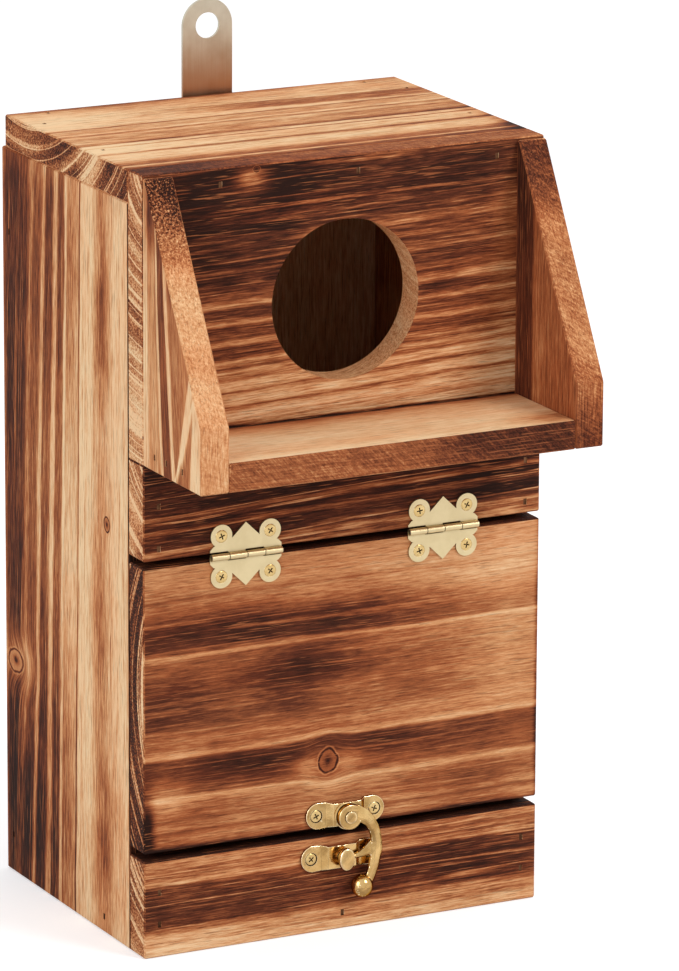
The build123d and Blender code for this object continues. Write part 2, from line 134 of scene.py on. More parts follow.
def noise(tree, place, scale=1, detail=2, rough=0.5):
    made = tree.nodes.new("ShaderNodeTexNoise")
    feed(tree, made.inputs["Vector"], place)
    made.inputs["Scale"].default_value = scale
    made.inputs["Detail"].default_value = detail
    made.inputs["Roughness"].default_value = rough
    return Field(tree, made.outputs["Fac"])


def ramp(tree, value, stops):
    """A colour, or a plain number written as a grey, for each value from 0 to 1."""
    made = tree.nodes.new("ShaderNodeValToRGB")
    feed(tree, made.inputs["Fac"], value)
    steps = made.color_ramp.elements
    while len(steps) < len(stops):
        steps.new(0.5)
    for step, (place, colour) in zip(steps, stops):
        step.position = place
        step.color = colour if isinstance(colour, tuple) else (colour, colour, colour, 1)
    return made.outputs["Color"]


def mixed(tree, share, first, second, way="MIX"):
    """The first colour with a share of the second one. A Mix node's colours are sockets 6 and 7."""
    made = tree.nodes.new("ShaderNodeMix")
    made.data_type = "RGBA"
    made.blend_type = way
    feed(tree, made.inputs[0], share)
    feed(tree, made.inputs[6], first)
    feed(tree, made.inputs[7], second)
    return made.outputs[2]


def bumped(tree, shader, height, strength, distance):
    """Fine relief on a finish, with a distance in mm."""
    made = tree.nodes.new("ShaderNodeBump")
    made.inputs["Strength"].default_value = strength
    made.inputs["Distance"].default_value = distance * MM
    feed(tree, made.inputs["Height"], height)
    feed(tree, shader.inputs["Normal"], made.outputs["Normal"])


def new_finish(name):
    """A new material, its nodes and its surface shader."""
    finish = bpy.data.materials.new(name)
    finish.use_nodes = True
    tree = finish.node_tree
    return finish, tree, tree.nodes["Principled BSDF"]


# Flamed softwood

# From bare wood to charred wood
WOOD_TONES = [
    (0.0, tone(236, 203, 160)),
    (0.15, tone(226, 180, 134)),
    (0.35, tone(203, 143, 95)),
    (0.55, tone(157, 89, 52)),
    (0.75, tone(96, 48, 30)),
    (0.9, tone(58, 29, 19)),
    (1.0, tone(38, 20, 14)),
]


def from_spot(run, wide, spot):
    """0 in the middle of an oval spot and 1 on its edge, growing outwards."""
    spot_run, spot_wide, length, width = spot
    return ((run - spot_run) / length).squared() + ((wide - spot_wide) / width).squared()


def spot_share(run, wide, spot, haze):
    """1 in the middle of a long soft spot, fading outwards with a hazy edge."""
    return (haze - from_spot(run, wide, spot)).sum("EXPONENT").kept()


class FlamedWood:
    """The finish of one board of burnt and brushed softwood, built up step by step.

    Places are in mm. run is the place along the grain, wide across the show face, thick through
    the board, and ring across the rings. depth is how deep the flame went: 0 is bare wood and 1
    is charred."""

    def __init__(self, name, along, across, show, seed):
        """along and across are the board's axes, and show is the place of its show face on the
        third one."""
        self.finish, self.tree, self.shader = new_finish(name)
        here = self.tree.nodes.new("ShaderNodeTexCoord")
        place = parted(self.tree, here.outputs["Object"])
        self.face = parted(self.tree, here.outputs["Normal"])
        deep = next(letter for letter in "XYZ" if letter not in (along, across))
        self.run, self.wide, self.thick = (place[letter] / MM for letter in (along, across, deep))
        self.end_facing, self.show_facing = self.face[along], self.face[deep]
        self.show = show
        self.seed = seed
        self.ring = self.wide
        self.slow = self.cloud(0.007, 0.025) - 0.5
        self.quick = self.cloud(0.03, 0.14) - 0.5
        self.grit = self.cloud(1.3, 1.3, detail=3, rough=0.75) - 0.5
        self.passes = self.cloud(0.03, 0.05, 5, detail=4) - 0.5
        self.haze = self.passes * 1.8
        self.knot_depth = self.knot_share = None

    def noise(self, *place, **look):
        """Noise at a place given by three sums."""
        return noise(self.tree, vector(self.tree, *place), **look)

    def cloud(self, long_waves, cross_waves, shift=0, **look):
        """Noise with so many waves per mm along the board, and across it."""
        return self.noise(self.run * long_waves, self.wide * cross_waves,
                          self.thick * cross_waves + self.seed + shift, **look)

    def fibres(self, long_waves, cross_waves, shift=0, **look):
        """Noise that bends with the rings."""
        return self.noise(self.run * long_waves, self.ring * cross_waves,
                          self.thick * cross_waves + self.seed + shift, **look)

    def bands(self, long_waves, cross_waves, shift=0, **look):
        """Noise that follows the rings through the whole thickness."""
        return self.noise(self.run * long_waves, self.ring * cross_waves, self.seed + shift, **look)

    def bend_rings(self, slant, lean, drift):
        """Lets the rings waver and lean.

        slant: how they lean inwards. lean: their tilt, its spread across the board, and the place
        along it where both are 0. drift: bands that run off sideways, each between two places and
        with a slope."""
        tilt, spread, origin = lean
        ring = self.wide + self.slow * 4 + self.quick * 0.6 + (self.thick - self.show) * slant
        ring = ring - (self.run * -1 + origin) * (self.wide * spread + tilt)
        for from_wide, to_wide, slope in drift:
            ring = ring + (self.run - origin) * self.wide.between(from_wide, to_wide) * slope
        self.ring = ring

    def grow_knots(self, knots):
        """Knots that the rings bend round, each a middle, a length, a width, and the depths of
        its fill and its rim."""
        for *oval, fill, rim in knots:
            away = from_spot(self.run, self.wide, oval)
            pull = (away * -0.3).sum("EXPONENT") * 0.6
            self.ring = self.ring - (self.ring - oval[1]) * pull
            wobble = self.noise(self.run * 0.25, self.wide * 0.25, self.seed) - 0.5
            radius = away.sum("SQRT") + wobble * 0.5
            knot = Field(self.tree, ramp(self.tree, radius / 1.5, [
                (0, 0.98), (0.1, 0.85), (0.2, fill + 0.13), (0.4, fill), (0.56, fill - 0.02),
                (0.62, rim), (0.68, rim), (0.76, 0.3)]))
            share = radius.between(1.0, 1.3).flipped()
            if self.knot_share is None:
                self.knot_depth, self.knot_share = knot, share
            else:
                self.knot_depth = self.knot_depth * share.flipped() + knot * share
                self.knot_share = self.knot_share.sum("MAXIMUM", share)

    def flame(self, stripes, char, mottle):
        """Burns stripes into the wood, each a place across the rings and a depth. char is added
        everywhere, and mottle is how strongly bands of the rings differ."""
        low, high = stripes[0][0], stripes[-1][0]
        burnt = Field(self.tree, ramp(self.tree, (self.ring - low) / (high - low), [
            ((stripe - low) / (high - low), depth) for stripe, depth in stripes]))
        broad = self.bands(0.006, 0.16, 3.1) - 0.5
        medium = self.bands(0.012, 0.8, 7.7, detail=3, rough=0.6) - 0.5
        mottled = burnt + char + broad * (0.25 * mottle) + medium * (0.3 * mottle)
        self.depth = mottled + self.passes * 0.4
        self.broad, self.medium = broad, medium

    def scorch(self, spots):
        """Soft burnt spots, each a middle, a length, a width and a depth."""
        for *spot, amount in spots:
            share = spot_share(self.run, self.wide, spot, self.haze)
            self.depth = self.depth + share * amount

    def lay_patches(self, patches):
        """Areas with a straight edge, each two places along, two across, a slope and a depth."""
        for run_out, run_in, lower, upper, rise, amount in patches:
            level = self.wide - self.run * rise + self.quick * 1.5
            share = level.between(lower, lower + 3) * level.between(upper, upper - 1)
            length = (self.run + self.medium * 30).between(run_out, run_in)
            self.depth = self.depth + share * length * amount

    def draw_ring_lines(self, strength):
        """Broken lines along the rings, which stand out less the deeper the flame went."""
        edge = self.bands(0.0035, 0.3, 11.3, detail=1) - 0.5
        breaks = self.bands(0.04, 0.5).between(0.35, 0.6)
        self.line = (edge.size() * -22 + 1).kept() * breaks
        self.depth = self.depth + self.line * ((self.depth * -1 + 0.36) * (0.8 * strength))

    def saw_edges(self, edges):
        """Rough edges, each the letter and sign of its facing, a depth, a skew of its saw marks,
        their strength, and burnt spots: a middle, a length, a width, a depth and its speckle."""
        self.rough_cut = self.grit * 0
        for letter, sign, base, skew, cuts, burns in edges:
            side = (self.face[letter] * sign).between(0.25, 0.5)
            marks = self.noise((self.run + self.thick * skew) * 1.1,
                               (self.thick - self.run * skew) * 0.12,
                               self.wide * 0.1 + self.seed, detail=4, rough=0.75) - 0.5
            cut = marks * cuts + self.grit * 0.4 + self.broad * 0.3 + base
            for *spot, amount, speckle in burns:
                share = spot_share(self.run, self.wide, spot, self.passes * 2) * amount
                cut = cut + share * (self.grit * speckle + 1)
            self.depth = self.depth * side.flipped() + cut * side
            self.rough_cut = self.rough_cut + side * (marks + self.grit)

    def spare_and_shade_inside(self, inner):
        """Brings the face inside the box towards a depth of its own: wood spared the flame,
        darkened by painted shade inside the box.
        """
        inside = (self.show_facing * (-1 if self.show > 0 else 1)).between(0.4, 0.7)
        self.depth = self.depth * (inside * -0.6 + 1) + inside * (0.6 * inner)

    def show_end_grain(self, heart, base, strength, spots):
        """The ends show the rings as arcs round the log's heart and soak up more flame. Their
        spots are soft burnt or pale ones, each a middle, two radii and a depth."""
        end = self.end_facing.size().between(0.6, 0.9)
        heart_wide, heart_thick = heart
        arc = ((self.wide + self.slow * 3 - heart_wide).squared()
               + (self.thick - heart_thick).squared()).sum("SQRT")
        late = self.noise(arc * 0.3, self.seed + 15, self.seed, detail=1) - 0.5
        arcs = (late.size() * -20 + 1).kept()
        tint = self.noise(arc * 0.16, self.seed + 31, self.wide * 0.02) - 0.5
        depth = tint * 1.1 + self.grit * 1.8 - arcs * 0.72 + base
        for *spot, amount in spots:
            depth = depth + spot_share(self.wide, self.thick, spot, self.haze) * amount
        self.depth = self.depth * (end * -strength + 1) + depth * (end * strength)

    def bore_hole(self, middle, radius, base):
        """A bored hole's wall shows bare wood."""
        middle_run, middle_wide = middle
        away = ((self.run - middle_run).squared() + (self.wide - middle_wide).squared()).sum("SQRT")
        upright = self.show_facing.size().between(0.4, 0.6).flipped()
        wall = away.between(radius - 0.2, radius + 0.4).flipped() * upright
        self.depth = self.depth * wall.flipped() + (self.grit * 0.5 + base) * wall

    def brush(self, strength, strand):
        """Brings out the fibres. strand: waves per mm of the coarse ones, along and across."""
        self.fine = self.fibres(0.05, 1.7, detail=5, rough=0.75) - 0.5
        strands = self.fibres(*strand, 2, detail=4, rough=0.75) - 0.5
        contrast = (self.depth * -0.7 + 1.4) * strength
        self.depth = self.depth + (self.fine * 0.45 + strands * 0.75) * contrast

    def fill_knots(self):
        """Lays the knots over the brushed wood."""
        if self.knot_share is not None:
            filled = (self.knot_depth + self.grit * 0.25) * self.knot_share
            self.depth = self.depth * self.knot_share.flipped() + filled

    def stain(self):
        """Turns the depth into tones, with brushed glints, pores and a fine relief."""
        depth = self.depth.kept()
        colour = ramp(self.tree, depth, WOOD_TONES)
        warm = self.bands(0.01, 0.12, 21).between(0.35, 0.7)
        warmer = mixed(self.tree, 1.0, colour, tone(255, 222, 204), "MULTIPLY")
        colour = mixed(self.tree, warm * 0.35, colour, warmer)
        glint = self.cloud(0.08, 1.9, detail=1).between(0.61, 0.71)
        colour = mixed(self.tree, glint * (depth * 0.55), colour, tone(190, 112, 68))
        pore = self.cloud(0.12, 2, 9, detail=1).between(0.4, 0.26)
        colour = mixed(self.tree, pore * 0.35, colour, tone(78, 40, 24))
        feed(self.tree, self.shader.inputs["Base Color"], colour)
        self.shader.inputs["Specular IOR Level"].default_value = 0.08
        rough = (self.fine * 0.3 - depth * 0.12 + 0.8).kept()
        feed(self.tree, self.shader.inputs["Roughness"], rough)
        relief = (self.fine * 0.8 + self.line * 0.4 + self.medium * 0.3 + glint * 0.3
                  - pore * 0.4 + self.rough_cut * 0.6)
        bumped(self.tree, self.shader, relief, 0.7, 0.4)


# Metal finishes

def satin_metal(name, dull, bright, rough, grain=(900, 900, 900), relief=0.02, worn=0.5,
                tarnish_and_shade=0.0, low=None, stain=None, rubbed_and_highlit=None):
    """Plated or cast metal with a fine grain, cloudy between a dull and a bright colour.

    rough: how matt it is. grain: waves per metre on each axis. relief: its depth in mm.
    worn: how cloudy it is. tarnish_and_shade: how dark its corners, hollows and joins between parts
    are: tarnish, and painted shade.
    low: the heights in mm where a warmer colour is full and where it ends, and that colour.
    stain: the colour of soft patches. rubbed_and_highlit: the colour of its sharp edges, worn
    bright and painted as a highlight."""
    finish, tree, shader = new_finish(name)
    here = tree.nodes.new("ShaderNodeTexCoord").outputs["Object"]
    stretch = tree.nodes.new("ShaderNodeMapping")
    stretch.inputs["Scale"].default_value = grain
    feed(tree, stretch.inputs["Vector"], here)
    grit = noise(tree, stretch.outputs[0], detail=3, rough=0.6)
    cloud = noise(tree, here, scale=160, detail=3)
    colour = mixed(tree, (cloud.between(0.3, 0.7) * worn + grit * 0.25).kept(), dull, bright)
    if low:
        lower, upper, warmer = low
        height = parted(tree, here)["Z"] / MM
        fall = (height + (grit - 0.5) * 6).between(upper, lower)
        colour = mixed(tree, fall, colour, warmer)
    if stain:
        patch = noise(tree, here, scale=210, rough=0.4).between(0.5, 0.68)
        colour = mixed(tree, patch * 0.4, colour, stain)
    # Lighter on sharp edges: partly rubbed wear, partly a painted highlight.
    if rubbed_and_highlit:
        shape = tree.nodes.new("ShaderNodeNewGeometry")
        ridge = Field(tree, shape.outputs["Pointiness"]).between(0.508, 0.54)
        colour = mixed(tree, ridge, colour, rubbed_and_highlit)
        shader.inputs["Specular Tint"].default_value = tone(150, 104, 54)
    # Darker in hollows, corners and between parts, found by ambient occlusion: partly tarnish,
    # partly painted shade.
    if tarnish_and_shade:
        open_air = tree.nodes.new("ShaderNodeAmbientOcclusion")
        open_air.inputs["Distance"].default_value = 1.8 * MM
        hollow_shade = Field(tree, open_air.outputs["AO"]).between(0.95, 0.35) * tarnish_and_shade
        colour = mixed(tree, hollow_shade, colour, tone(52, 30, 12))
    feed(tree, shader.inputs["Base Color"], colour)
    shader.inputs["Metallic"].default_value = 1
    feed(tree, shader.inputs["Roughness"], (cloud * 0.12 + grit * 0.1 + (rough - 0.11)).kept())
    bumped(tree, shader, grit, 0.5, relief)
    return finish


def paint(finish, *names):
    """Puts a finish on CAD nodes."""
    for name in names:
        for slot in cad_nodes[name].material_slots:
            slot.material = finish


def flame_board(node, along, across, show, stripes, heart, seed, slant=0.6, lean=(0, 0, 0),
                drift=(), char=0.0, scorch=(), patches=(), knots=(), lines=1.0, fibre=1.0,
                strand=(0.1, 1.5), bands=1.0, end_char=(0.5, 0.6), end_spots=(), sawn=(),
                bare=None, inner=0.4):
    """Gives one board its own flamed wood. The steps of FlamedWood explain the words."""
    wood = FlamedWood(f"{node}_wood", along, across, show, seed)
    wood.bend_rings(slant, lean, drift)
    wood.grow_knots(knots)
    wood.flame(stripes, char, bands)
    wood.scorch(scorch)
    wood.lay_patches(patches)
    wood.draw_ring_lines(lines)
    wood.saw_edges(sawn)
    wood.spare_and_shade_inside(inner)
    wood.show_end_grain(heart, *end_char, end_spots)
    if bare:
        wood.bore_hole(*bare)
    wood.brush(fibre, strand)
    wood.fill_knots()
    wood.stain()
    paint(wood.finish, node)


# The boards, with places in mm

ledge_top = 192
entrance, entrance_radius = (0, 233.25), 28.98

# Sawn edges that lie in dark gaps, made near-black: char, and painted shade of the gaps
char_and_gap_shade_front = [("Y", -1, 0.92, 0, 0.3, [])]
char_and_gap_shade_top = [("Z", 1, 0.92, 0, 0.3, [])]

# Flame marks of the boards that don't show in the photograph
plain_stripes = [(-59, 0.35), (-40, 0.2), (-25, 0.42), (-10, 0.25), (5, 0.5), (20, 0.3),
                 (38, 0.6), (59, 0.45)]

flame_board(
    "left_side_panel", "Z", "Y", left_face, heart=(-190, -110), seed=1.3,
    lean=(0.027, 0.00056, 223), fibre=1.4, bands=0.5,
    stripes=[(-59, 0.25), (-47, 0.2), (-45, 0.04), (-36, 0.06), (-33, 0.14), (-29, 0.26),
             (-24, 0.3), (-19, 0.16), (-17, 0.04), (-8, 0.04), (-7.2, 0.07), (-6.8, 0.8),
             (-6.2, 0.8), (-5.8, 0.3), (-1.5, 0.44), (4.5, 0.5), (5.2, 0.1), (6.4, 0.13),
             (7.4, 0.72), (12.5, 0.75), (13.5, 0.25), (16, 0.3), (17.2, 0.74), (23, 0.78),
             (24, 0.26), (25.6, 0.3), (27, 0.7), (33, 0.66), (35.5, 0.48), (37, 0.6), (39, 0.8),
             (62, 0.92)],
    scorch=[(28, 40, 40, 30, 0.3), (150, 12, 60, 22, -0.2), (24, -30, 30, 10, 0.3),
            (235, -26, 40, 6.5, 0.34), (83, 47, 9, 12, -0.5), (200, 58.5, 400, 2, -0.36),
            (110, -20, 40, 7, 0.2), (272, 30, 7, 40, -0.15), (160, -40, 60, 8, -0.06),
            (60, -24, 30, 6, 0.2), (130, 2, 60, 6, -0.2)],
    knots=[(153, -29, 2.8, 2.4, 0.48, 1.0), (82, 50, 4.4, 6.2, 0.42, 0.8)],
    sawn=char_and_gap_shade_front)
flame_board(
    "right_side_panel", "Z", "Y", right_face, heart=(-190, 110), seed=14.8,
    lean=(0.01, 0.0003, 273), stripes=plain_stripes,
    scorch=[(30, -10, 50, 40, 0.3), (240, 30, 40, 25, 0.25)],
    knots=[(96, -12, 4, 4, 0.5, 0.8)], sawn=char_and_gap_shade_front)
flame_board(
    "back_panel", "Z", "X", back_face, heart=(-150, 10), seed=23.1, char=0.05, inner=0.15,
    stripes=[(-79, 0.5), (-50, 0.3), (-32, 0.2), (-10, 0.45), (12, 0.3), (30, 0.55), (55, 0.35),
             (79, 0.5)],
    scorch=[(20, 0, 40, 60, 0.25), (150, 0, 90, 60, 0.1)],
    knots=[(130, 36, 4, 4, 0.5, 0.8), (60, -38, 3, 3, 0.5, 0.9)])
flame_board(
    "floor_board", "X", "Y", box_foot, heart=(-150, -60), seed=31.9,
    stripes=plain_stripes)
flame_board(
    "roof_board", "X", "Y", box_top, heart=(40, 348), seed=42.4, lean=(-0.015, 0, 0),
    fibre=1.5, bands=1.1, end_char=(0.78, 0.95),
    end_spots=[(-17, 280, 11, 12, -0.5), (36, 276, 20, 3, -0.2)],
    patches=[(-45, 22, 26, 38.5, -0.05, 0.4)],
    stripes=[(-47.5, 0.4), (-46.5, 0.7), (-43.5, 0.6), (-42.5, 0.06), (-40.5, 0.64), (-36, 0.46),
             (-33, 0.12), (-24, 0.12), (-22, 0.68), (-19.5, 0.1), (-12, 0.06), (-10.5, 0.64),
             (-9.5, 0.04), (-7.5, 0.08), (-6, 0.8), (-4, 0.5), (-2, 0.3), (4, 0.44), (8, 0.22),
             (10.5, 0.6), (12, 0.02), (14, 0.32), (19, 0.26), (21, 0.58), (22, 0.04), (29, 0.12),
             (40, 0.2), (50, 0.26), (55, 0.5), (60, 0.55)],
    # The two pale spots at the left edge are a painted highlight on the roof.
    scorch=[(83, -40, 8, 26, 0.6), (10, -58, 90, 6, 0.1), (-74, 34, 22, 13, -0.4),
            (-74, -16, 24, 12, -0.4), (0, 57, 50, 4, 0.2)])
flame_board(
    "upper_front_board", "X", "Z", front_face, heart=(290, -66), seed=52.7, lean=(-0.03, 0, 0),
    slant=-0.5, lines=0.8, fibre=1.3, end_char=(0.48, 0.95),
    bare=(entrance, entrance_radius, 0.22),
    end_spots=[(196, -53, 18, 20, -0.4)],
    stripes=[(176, 0.4), (189, 0.36), (190, 0.06), (195, 0.34), (196.4, 0.1), (199, 0.26),
             (200.8, 0.6), (202, 0.16), (204.6, 0.26), (206.4, 0.6), (207.6, 0.18), (210, 0.24),
             (211.5, 0.64), (213.5, 0.32), (215, 0.66), (217, 0.38), (218.5, 0.72), (222, 0.7),
             (223.5, 0.34), (225, 0.7), (229, 0.74), (230.5, 0.36), (232, 0.74), (235, 0.78),
             (236.5, 0.4), (241, 0.74), (247.6, 0.76), (248.6, 0.48), (250, 0.76), (261, 0.66),
             (263, 0.82), (292, 0.86)],
    scorch=[(-50, 262, 36, 20, 0.2), (-37, 280, 6, 4.5, -0.5), (20, 276, 80, 9, 0.08),
            # The last spot is a dark line at the foot of the board, along the ledge: painted shade
            # in the crease.
            (64, 240, 6, 34, -0.12), (-48, 225, 20, 20, -0.06), (-10, 191.6, 300, 0.75, 0.9)],
    knots=[(-35, 283.2, 1.3, 1.1, 0.8, 0.95)],
    sawn=[("Z", 1, 0.6, 0, 0.4, [(-70, 285, 30, 10, 0.25, 1)])])
flame_board(
    "hinge_rail", "X", "Z", front_face, heart=(215, -90), seed=63.2, lean=(-0.03, 0, 0),
    slant=-0.5, lines=1.4, fibre=1.3, end_char=(0.3, 0.9), end_spots=[(150, -57, 8, 5, 0.3)],
    # Darkest towards the top, under the ledge, in the stripes and the last spot: char, and painted
    # shade of the ledge there.
    stripes=[(140, 0.68), (149, 0.72), (150.5, 0.56), (152, 0.82), (157, 0.84), (158.4, 0.56),
             (160, 0.84), (162.5, 0.82), (163.6, 0.5), (165, 0.86), (172, 0.9), (190, 0.92)],
    scorch=[(78, 151, 26, 4, -0.2), (60, 162, 40, 12, 0.16), (-79, 160, 10, 16, -0.05),
            (0, 181, 90, 5, 0.2)])
flame_board(
    "door_flap", "X", "Z", front_face, heart=(100, -124), seed=72.6, slant=-0.5, char=0.04,
    lines=0.7, fibre=0.85, strand=(0.13, 1.4), bands=0.35, end_char=(0.92, 0.98),
    end_spots=[(100, -59, 22, 4, -0.8), (44, -59, 12, 4, 0.2)],
    stripes=[(33, 0.6), (40, 0.42), (44, 0.44), (45.2, 0.58), (46.6, 0.34), (50, 0.46), (56, 0.42),
             (58, 0.24), (59.5, 0.6), (66, 0.62), (72, 0.66), (73.6, 0.22), (76, 0.5), (79, 0.42),
             (84, 0.54), (100, 0.58), (108, 0.5), (109.6, 0.44), (110.4, 0.18), (111.4, 0.62),
             (120, 0.58), (127, 0.42), (130, 0.38), (131, 0.48), (133, 0.32), (150, 0.3)],
    scorch=[(-40, 93, 50, 13, 0.18), (-20, 98, 26, 6, 0.1), (-30, 86, 30, 5, 0.08),
            (-34, 118, 52, 7, 0.26), (60, 104, 34, 26, -0.1), (-78.5, 46, 3, 14, 0.75),
            (-44, 67, 34, 5, 0.2), (14, 69, 14, 5, 0.24), (44, 68, 30, 5, 0.12),
            (-72, 60, 12, 8, -0.2), (70, 95, 20, 30, -0.16), (66, 125, 26, 8, -0.16),
            (0, 39, 200, 1.6, 0.45), (-14, 63, 6, 4, -0.3), (2, 63, 6, 4, -0.3),
            (-6, 55, 10, 3, -0.1), (38, 51, 26, 5, 0.2), (-62, 50, 20, 4, 0.1),
            (79, 92, 1.2, 60, 0.4)],
    knots=[(-6, 64, 3.8, 4.6, 0.6, 0.92)], sawn=char_and_gap_shade_top)
flame_board(
    "bottom_rail", "X", "Z", front_face, heart=(66, -86), seed=81.5, slant=-0.5, lines=1.2,
    fibre=1.3, end_char=(0.68, 0.95), end_spots=[(3, -54, 9, 12, -0.25)],
    stripes=[(-6, 0.25), (3, 0.22), (5, 0.42), (7, 0.32), (9, 0.52), (11, 0.7), (18, 0.76),
             (25, 0.72), (26.3, 0.64), (27, 0.27), (28.5, 0.48), (31, 0.54), (33, 0.4), (42, 0.52)],
    scorch=[(-60, 4, 30, 4, -0.2), (50, 20, 60, 12, 0.1)], sawn=char_and_gap_shade_top)
flame_board(
    "left_porch_bracket", "Z", "Y", left_face, heart=(-250, -60), seed=92.2, lean=(0, 0, 183),
    slant=0.1, lines=0.4, bands=0.4, drift=[(-58, -78, -0.11)],
    stripes=[(-114, 0.42), (-96, 0.46), (-86, 0.54), (-84.4, 0.08), (-82.8, 0.1), (-82, 0.68),
             (-76.2, 0.72), (-75.4, 0.14), (-74, 0.12), (-73.2, 0.5), (-71, 0.34), (-66, 0.38),
             (-63.6, 0.26), (-63, 0.04), (-61.8, 0.05), (-61.4, 0.4), (-60.9, 0.06), (-52, 0.1)],
    patches=[(100, 120, -4.5, -0.6, -0.456, -0.5), (184, 194, -41.6, -35.6, -0.27, -0.5),
             (100, 120, -95, -79.4, -0.09, -0.44)],
    scorch=[(272, -64, 12, 5, 0.45), (286, -66, 14, 12, 0.4), (262, -78, 8, 5, 0.2)],
    sawn=[("Y", -1, 0.28, 0.4, 0.3, [(292, -54, 26, 40, 1.1, 5), (182, -105, 12, 30, 0.1, 0)])])
flame_board(
    "right_porch_bracket", "Z", "Y", right_face, heart=(-250, 60), seed=97.4, char=0.1,
    lines=0.6, inner=0.6,
    stripes=[(-112, 0.42), (-95, 0.5), (-84, 0.36), (-79.6, 0.4), (-78.4, 0.95), (-67.5, 1),
             (-66, 0.5), (-52, 0.5)],
    scorch=[(280, -62, 24, 14, 0.3)],
    sawn=[("Y", -1, 0.46, 0.6, 0.7, [(280, -62, 16, 30, 0.32, 0.8),
                                     (184, -105, 14, 30, 0.28, 0.8)])])
flame_board(
    "porch_ledge", "X", "Y", ledge_top, heart=(-300, 130), seed=105.9, slant=0.2, lines=0.3,
    fibre=0.8, bands=0.4,
    # Bare along the front edge: a painted highlight on that edge. Darker towards the back.
    stripes=[(-112, 0), (-102, 0), (-99, 0.08), (-85, 0.06), (-76, 0.12), (-68, 0.28), (-64, 0.48),
             (-52, 0.6)],
    # The second spot is a dark line along the back, at the board: painted shade in the crease.
    scorch=[(66, -98, 16, 8, 0.3), (0, -60.2, 300, 1.6, 0.7)],
    sawn=[("Y", -1, 0.58, 1.0, 0.7, [(50, -105, 34, 10, 0.2, 0.3)])])

# The metals

hinge_brass = satin_metal("hinge_brass", tone(210, 190, 146), tone(228, 209, 166), 0.4,
                          tarnish_and_shade=0.5)
screw_brass = satin_metal("screw_brass", tone(204, 168, 104), tone(240, 214, 156), 0.24,
                          tarnish_and_shade=0.9)
latch_brass = satin_metal("latch_brass", tone(190, 150, 90), tone(240, 206, 144), 0.14,
                          relief=0.06, tarnish_and_shade=0.85, stain=tone(134, 96, 44),
                          rubbed_and_highlit=tone(255, 232, 186))
nail_steel = satin_metal("nail_steel", tone(40, 25, 18), tone(116, 80, 56), 0.4, worn=1.0)
pin_steel = satin_metal("pin_steel", tone(190, 178, 140), tone(226, 216, 180), 0.3)
strap_steel = satin_metal("strap_steel", tone(196, 188, 168), tone(216, 210, 192), 0.34,
                          grain=(2600, 2600, 60), low=(282, 312, tone(172, 126, 92)))
strap_screws = satin_metal("strap_screw_steel", tone(170, 164, 152), tone(226, 220, 208), 0.28)

paint(nail_steel, *(name for name in cad_nodes if name.endswith("_nails")))
paint(hinge_brass, "left_hinge_rail_leaf", "right_hinge_rail_leaf",
      "left_hinge_door_leaf", "right_hinge_door_leaf")
paint(pin_steel, "left_hinge_pin", "right_hinge_pin")
paint(screw_brass, "hinge_rail_screws", "hinge_door_screws",
      "latch_plate_screws", "catch_plate_screws")
paint(latch_brass, "latch_plate", "latch_rivet", "latch_arm", "catch_plate", "catch_stud")
paint(strap_steel, "hanger_strap")
paint(strap_screws, "hanger_screws")


# Shaping metal pieces

FRONT, BACK = -1, 1


def at(x, y, z):
    return Vector((x, y, z)) * MM


def proud(rise):
    """The depth of a face that stands so many mm in front of the boards."""
    return front_face - rise


def put_down():
    """Leaves edit mode with nothing selected, ready for a new primitive."""
    if bpy.context.mode != "OBJECT":
        bpy.ops.object.mode_set(mode="OBJECT")
    bpy.ops.object.select_all(action="DESELECT")


def take_up(piece):
    """Selects one piece and nothing else."""
    put_down()
    piece.select_set(True)
    bpy.context.view_layer.objects.active = piece


def settle(name):
    """Names the new primitive and puts its place into its mesh."""
    piece = bpy.context.object
    piece.name = name
    bpy.ops.object.transform_apply(location=True, rotation=True, scale=True)
    return piece


def edit_all(piece):
    """Edit mode with the whole piece selected."""
    take_up(piece)
    bpy.ops.object.mode_set(mode="EDIT")
    bpy.ops.mesh.select_all(action="SELECT")


def edit_faces(piece, facing):
    """Edit mode with only the faces selected that look straight to the front or the back."""
    take_up(piece)
    bpy.ops.object.mode_set(mode="EDIT")
    bpy.ops.mesh.select_all(action="DESELECT")
    bpy.ops.mesh.select_mode(type="FACE")
    mesh = bmesh.from_edit_mesh(piece.data)
    for face in mesh.faces:
        if face.normal.y * facing > 0.9:
            face.select_set(True)
    bmesh.update_edit_mesh(piece.data)


def front_disc(name, place, radius, front, back, sides=48):
    """A round plate facing the front, between two depths in mm."""
    put_down()
    x, z = place
    bpy.ops.mesh.primitive_cylinder_add(
        vertices=sides, radius=radius * MM, depth=abs(back - front) * MM,
        location=at(x, (front + back) / 2, z), rotation=(math.radians(90), 0, 0))
    return settle(name)


def round_ball(name, place, radius, stretch=(1, 1, 1)):
    """A ball with a radius in mm, stretched on each axis."""
    put_down()
    bpy.ops.mesh.primitive_uv_sphere_add(segments=32, ring_count=20, radius=radius * MM,
                                         scale=stretch, location=at(*place))
    return settle(name)


def domed(piece, *rings):
    """Steps the front face forward. Each ring is an inset and a rise in mm."""
    edit_faces(piece, FRONT)
    for margin, rise in rings:
        bpy.ops.mesh.inset(thickness=margin * MM)
        bpy.ops.transform.translate(value=at(0, -rise, 0))
    put_down()


def drawn_back(piece, place, start, steps):
    """Draws the back face of a turned piece backwards through steps of a radius and a depth."""
    x, z = place
    here, depth = start
    edit_faces(piece, BACK)
    for radius, next_depth in steps:
        back = at(0, next_depth - depth, 0)
        bpy.ops.mesh.extrude_region_move(TRANSFORM_OT_translate={"value": back})
        share = radius / here
        bpy.ops.transform.resize(value=(share, 1, share), center_override=at(x, next_depth, z))
        here, depth = radius, next_depth


